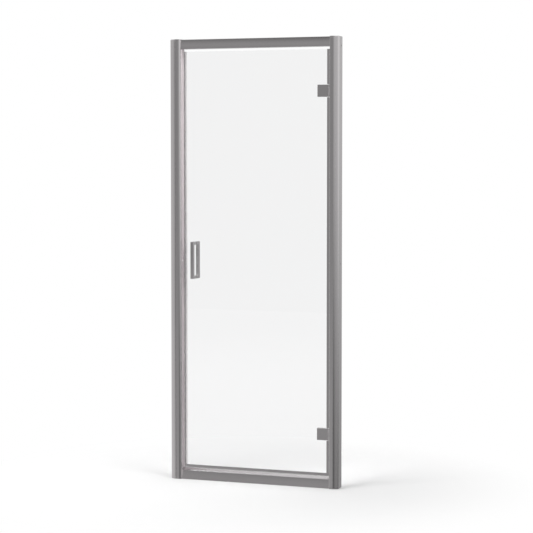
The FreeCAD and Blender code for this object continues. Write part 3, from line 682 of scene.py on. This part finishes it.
def top_rail():
    """Top rail with a bowed, leaning front."""
    low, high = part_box("top_rail")
    foot = (low.y, low.z)
    shoulder = (low.y + rail_lean, high.z)
    outline = rounded([(high.y, low.z, edge_radius), (high.y, high.z, rear_corner), (*shoulder, rail_corner)]
                      + bowed(shoulder, foot, rail_bow) + [(*foot, rear_corner)])
    return profile("top_rail_profile", "top_rail", outline, in_side_view, low.x, high.x - low.x)


def sill_rail():
    """Sill with a leaning front and a hollow slope that drains to the outside."""
    low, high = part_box("sill_rail")
    foot = (low.y, low.z)
    knee = (low.y + sill_lean, sill_knee_height)
    slope = bowed(sill_crest, knee, -slope_hollow)[slope_end_points:-slope_end_points]
    outline = rounded([(high.y, low.z, edge_radius), (high.y, sill_rear_height, edge_radius),
                       (*sill_crest, sill_crest_radius)] + slope + [(*knee, rear_corner)]
                      + bowed(knee, foot, sill_bow) + [(*foot, edge_radius)])
    return profile("sill_rail_profile", "sill_rail", outline, in_side_view, low.x, high.x - low.x)


def bevelled(piece, width, segments):
    """Rounds or bevels the sharp edges of a piece."""
    bevel = piece.modifiers.new("edges", "BEVEL")
    bevel.width = width
    bevel.segments = segments
    bevel.limit_method = "ANGLE"
    bevel.angle_limit = crisp_angle
    bevel.harden_normals = True
    return piece


def even_faces(piece):
    """Keeps the flat faces of a piece flat in the light right up to its rounded edges."""
    normals = piece.modifiers.new("normals", "WEIGHTED_NORMAL")
    normals.keep_sharp = True
    return piece


def pull_handle(name, node, side):
    """Square bar on two legs."""
    low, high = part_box(node)
    foot = min(abs(low.y), abs(high.y))
    reach = max(abs(low.y), abs(high.y))
    bar = high.x - low.x
    grip = reach - bar
    outline = rounded([(foot, low.z), (reach, low.z, handle_corner), (reach, high.z, handle_corner),
                       (foot, high.z), (foot, high.z - bar), (grip, high.z - bar), (grip, low.z + bar),
                       (foot, low.z + bar)])
    outline = sided(outline, side)
    bores = []
    if side > 0:
        bores = [((low.x, (a.y + b.y) / 2, (a.z + b.z) / 2), grub_bore)
                 for a, b in solids("handle_grub_screws")]
    piece = profile(name, node, outline, in_side_view, low.x, bar, bores, (1, 0, 0), bar)
    return bevelled(piece, handle_edge, handle_edge_steps)


def glass_pane():
    """Glass with its holes and ground arris."""
    low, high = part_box("glass_panel")
    outline = [(low.x, low.z), (low.x, high.z), (high.x, high.z), (high.x, low.z)]
    bores = []
    for node, radius in (("hinge_sleeves_lower", clamp_hole_radius),
                         ("hinge_sleeves_upper", clamp_hole_radius),
                         ("handle_sleeves", handle_hole_radius)):
        bores += [(((a.x + b.x) / 2, 0.0, (a.z + b.z) / 2), radius) for a, b in solids(node)]
    depth = high.y - low.y
    piece = profile("glass_pane", "glass_panel", outline, in_front_view, low.y, depth, bores, (0, 1, 0),
                    drill_reach * depth)
    piece.visible_shadow = False
    return bevelled(piece, glass_arris, glass_arris_steps)


def set_screws(name, node, facing, kind):
    """Screws of one kind with driven heads, in the place of a CAD node's plain ones."""
    facing = Vector(facing)
    axis = max(range(3), key=lambda i: abs(facing[i]))
    seats = []
    for low, high in solids(node):
        seat = (low + high) / 2
        seat[axis] = (high if facing[axis] > 0 else low)[axis] - facing[axis] * kind["head"]
        seats.append(seat)
        length = high[axis] - low[axis] - kind["head"]
    mesh = bpy.data.meshes.new(name)
    mesh.from_pydata(seats, [], [])
    piece = grown(name, mesh, screws, facing=facing, shank=length, finish=finish_of(node), **kind)
    return stands_for(piece, node)


def ease_nose(piece):
    """Turns the closing jamb's nose slowly off its front and tightly round to the strike."""
    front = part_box("closing_jamb")[0].y
    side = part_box("cap_top_left")[1].x
    centre = Vector((side - nose_cad_radius, front + nose_cad_radius))
    tight_x = side - nose_tight_radius
    step = nose_slow_radius - nose_tight_radius
    slow = Vector((tight_x - step * math.sin(nose_turn), front + nose_slow_radius))
    tight = Vector((tight_x, front + nose_slow_radius - step * math.cos(nose_turn)))
    for vert in piece.data.vertices:
        away = vert.co.xy - centre
        if abs(away.length - nose_cad_radius) < nose_slack and away.x > -nose_slack and away.y < nose_slack:
            turn = math.atan2(away.x, -away.y)
            middle, radius = (slow, nose_slow_radius) if turn < nose_turn else (tight, nose_tight_radius)
            vert.co.x = middle.x + radius * math.sin(turn)
            vert.co.y = middle.y - radius * math.cos(turn)


for side, place in ((-1, "left"), (1, "right")):
    wall_channel(f"channel_{place}", f"wall_channel_{place}", side)
    for end in ("top", "bottom"):
        cap = even_faces(smoothed(f"cap_{end}_{place}", f"{end}_cap_{place}"))
        if side < 0:
            ease_nose(cap)
    set_screws(f"lock_screws_{place}", f"jamb_lock_screws_{place}", (0, 1, 0), lock_screw)
smoothed("hinge_jamb", "jamb_hinge_side")
ease_nose(smoothed("closing_jamb", "jamb_closing_side"))
top_rail()
sill_rail()
pull_handle("handle_outside", "handle_front", -1)
pull_handle("handle_inside", "handle_rear", 1)
glass_pane()
for part in ("lower", "middle", "upper"):
    smoothed(f"hinge_edge_profile_{part}", f"edge_profile_{part}")
smoothed("drip_rail", "drip_profile")
set_screws("strike_fixing", "strike_screw", (1, 0, 0), strike_screw)
set_screws("handle_grubs", "handle_grub_screws", (-1, 0, 0), grub_screw)
for level in ("lower", "upper"):
    smoothed(f"hinge_leaf_{level}", f"hinge_plate_{level}")
    smoothed(f"hinge_clamp_plate_{level}", f"hinge_counterplate_{level}")
    smoothed(f"hinge_bracket_{level}", f"hinge_arm_{level}")
    smoothed(f"hinge_pin_{level}", f"hinge_spindle_{level}")
    set_screws(f"clamp_fixings_{level}", f"hinge_clamp_screws_{level}", (0, 1, 0), clamp_screw)
    set_screws(f"bracket_fixings_{level}", f"bracket_screws_{level}", (-1, 0, 0), bracket_screw)

for node, piece in frame["nodes"].items():
    for slot in piece.material_slots:
        slot.material = finish_of(node)


def toward(nodes, direction, aim):
    """How nearly a direction points along an aim."""
    return nodes.add("ShaderNodeVectorMath", {"operation": "DOT_PRODUCT"},
                     {0: direction, 1: Vector(aim).normalized()}, "Value")


def glow(nodes, direction, aim, focus):
    """Soft patch around an aim."""
    near = toward(nodes, direction, aim)
    return near.math("EXPONENT", (near - 1.0) * focus)


def patched(nodes, direction, level, patches):
    """Even light with lighter and darker patches in it."""
    for strength, aim, focus in patches:
        level = level + strength * glow(nodes, direction, aim, focus)
    return level


def seen_directly(nodes):
    """One for what the camera sees past the door or straight through its glass."""
    path = nodes.add("ShaderNodeLightPath", output="Is Camera Ray")
    outputs = path.socket.node.outputs
    through = Wire(nodes, outputs["Is Transmission Ray"])
    mirrored = Wire(nodes, outputs["Glossy Depth"]) > 0.5
    return path.math("MAXIMUM", path, through * (1.0 - mirrored))


def studio():
    """World: white behind the door, and to its metal a soft studio that is darkest around the camera."""
    world = bpy.data.worlds.new("studio")
    world.use_nodes = True
    world.node_tree.nodes.clear()
    nodes = Nodes(world.node_tree)
    direction = nodes.add("ShaderNodeTexCoord", output="Generated")
    walls = patched(nodes, direction, wall_level, wall_patches)
    ground = ground_level + ground_slant * toward(nodes, direction, (1.0, 0.0, 0.0))
    ground = patched(nodes, direction, ground, ground_patches)
    height = toward(nodes, direction, (0.0, 0.0, 1.0))
    rise = nodes.add("ShaderNodeMapRange", {"interpolation_type": "SMOOTHSTEP"},
                     {"Value": height, "From Min": horizon_low, "From Max": horizon_high})
    level = ground + (walls - ground) * rise
    colour = mixed(nodes, seen_directly(nodes), level, white)
    back = nodes.add("ShaderNodeBackground", None, {"Color": colour, "Strength": 1.0})
    nodes.add("ShaderNodeOutputWorld", None, {"Surface": back})
    bpy.context.scene.world = world


def pale_floor():
    """Floor that carries the door's shadow and fades into the white of the studio."""
    mesh = bpy.data.meshes.new("pale_floor")
    signs = ((-1, -1), (1, -1), (1, 1), (-1, 1))
    corners = [(x * floor_half, y * floor_half, -floor_drop) for x, y in signs]
    mesh.from_pydata(corners, [], [(0, 1, 2, 3)])
    floor = bpy.data.objects.new("pale_floor", mesh)
    bpy.context.scene.collection.objects.link(floor)
    material, nodes = new_material("pale_floor")
    place = object_place(nodes)
    reach = nodes.add("ShaderNodeVectorMath", {"operation": "LENGTH"}, {0: place}, "Value")
    fade = nodes.add("ShaderNodeMapRange", {"interpolation_type": "SMOOTHSTEP"},
                     {"Value": reach, "From Min": shadow_reach, "From Max": fade_reach})
    matt = nodes.add("ShaderNodeBsdfDiffuse", None, {"Color": floor_grey})
    bright = nodes.add("ShaderNodeEmission", None, {"Color": white, "Strength": 1.0})
    surface = nodes.add("ShaderNodeMixShader", None, {0: seen_directly(nodes) * fade, 1: matt, 2: bright})
    nodes.add("ShaderNodeOutputMaterial", None, {"Surface": surface})
    mesh.materials.append(material)
    floor.visible_glossy = False


def softbox(name, place, aim, width, power, spread=180.0):
    """Large area lamp that lights the door and stays out of its reflections."""
    lamp = bpy.data.lights.new(name, "AREA")
    lamp.size = width
    lamp.energy = power
    lamp.spread = math.radians(spread)
    holder = bpy.data.objects.new(name, lamp)
    holder.location = place
    holder.rotation_euler = (Vector(aim) - Vector(place)).to_track_quat("-Z", "Y").to_euler()
    holder.visible_glossy = False
    bpy.context.scene.collection.objects.link(holder)


def photo_camera():
    """Camera that sees the door as the photograph does."""
    data = bpy.data.cameras.new("photo_camera")
    data.lens = camera_lens
    data.shift_y = camera_shift
    camera = bpy.data.objects.new("photo_camera", data)
    camera.location = camera_place
    camera.rotation_euler = (math.radians(90 + camera_tilt), 0.0, math.radians(camera_turn))
    bpy.context.scene.collection.objects.link(camera)
    bpy.context.scene.camera = camera


studio()
pale_floor()
softbox("key_light", place=(-2.2, -3.6, 3.8), aim=(0.0, 0.0, 0.6), width=3.0, power=138.0)
softbox("fill_light", place=(2.0, -1.5, 3.0), aim=(-0.34, 0.0, 1.75), width=1.6, power=13.0, spread=55.0)
photo_camera()
bpy.context.scene.view_settings.view_transform = "Standard"
